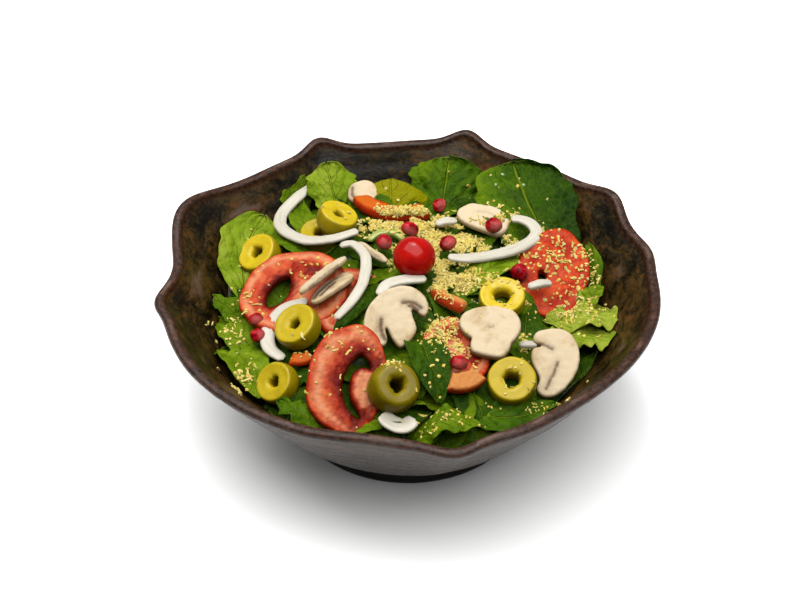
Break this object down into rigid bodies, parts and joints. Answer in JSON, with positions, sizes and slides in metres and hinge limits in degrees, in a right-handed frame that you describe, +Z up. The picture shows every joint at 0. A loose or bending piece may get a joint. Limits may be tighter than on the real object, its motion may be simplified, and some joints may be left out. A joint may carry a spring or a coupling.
{
  "type": "arugula salad in a bowl",
  "caption": "Round hand-built stoneware bowl with a wavy rim, filled with a mound of leaves topped with sliced tomato, olives, mushroom, onion and fruit seeds.",
  "frame": {"origin": "middle of the foot's underside, on the surface the bowl stands on", "axes": "+Z up, +Y to the back of the bowl, +X to the right seen from the front"},
  "size_m": [0.2448, 0.2416, 0.0952],
  "materials": {
    "glaze": "dark brown, mottled, half gloss glaze",
    "leaf": "fresh leaf, soft sheen",
    "olive": "wet, smooth",
    "tomato_flesh": "wet flesh with thin skin",
    "cherry_skin": "glossy skin",
    "onion": "wet, slightly clear",
    "mushroom": "matte cut face",
    "pomegranate": "juicy, glossy",
    "green_pepper": "smooth, slightly glossy"
  },
  "bodies": {
    "root": {"bowl": "glaze", "greens": "leaf", "tomato_left_low": "tomato_flesh", "tomato_left": "tomato_flesh", "tomato_centre": "tomato_flesh", "tomato_right": "tomato_flesh", "tomato_front": "tomato_flesh", "tomato_back": "tomato_flesh", "tomato_band": "tomato_flesh", "tomato_chunk": "tomato_flesh", "tomato_scrap": "tomato_flesh", "olive_left": "olive", "olive_back_low": "olive", "olive_back": "olive", "olive_mid_left": "olive", "olive_front_left": "olive", "olive_whole": "olive", "olive_ring_right": "olive", "olive_front_right": "olive", "mushroom_strip_low": "mushroom", "mushroom_strip": "mushroom", "mushroom_edge": "mushroom", "mushroom_back_left": "mushroom", "mushroom_back": "mushroom", "mushroom_right": "mushroom", "mushroom_centre_right": "mushroom", "mushroom_centre": "mushroom", "onion_back_left": "onion", "onion_middle": "onion", "onion_right": "onion", "onion_front_of_cherry": "onion", "onion_left": "onion", "onion_bit_right": "onion", "onion_bit_back_right": "onion", "onion_front": "onion", "onion_bit_back": "onion", "pepper_arc": "green_pepper", "aril_left_upper": "pomegranate", "aril_left_lower": "pomegranate", "aril_middle": "pomegranate", "aril_behind_cherry": "pomegranate", "aril_cherry_right": "pomegranate", "aril_on_mushroom": "pomegranate", "aril_right": "pomegranate", "aril_front": "pomegranate", "aril_back": "pomegranate", "cherry_tomato": "cherry_skin"}
  },
  "joints": []
}
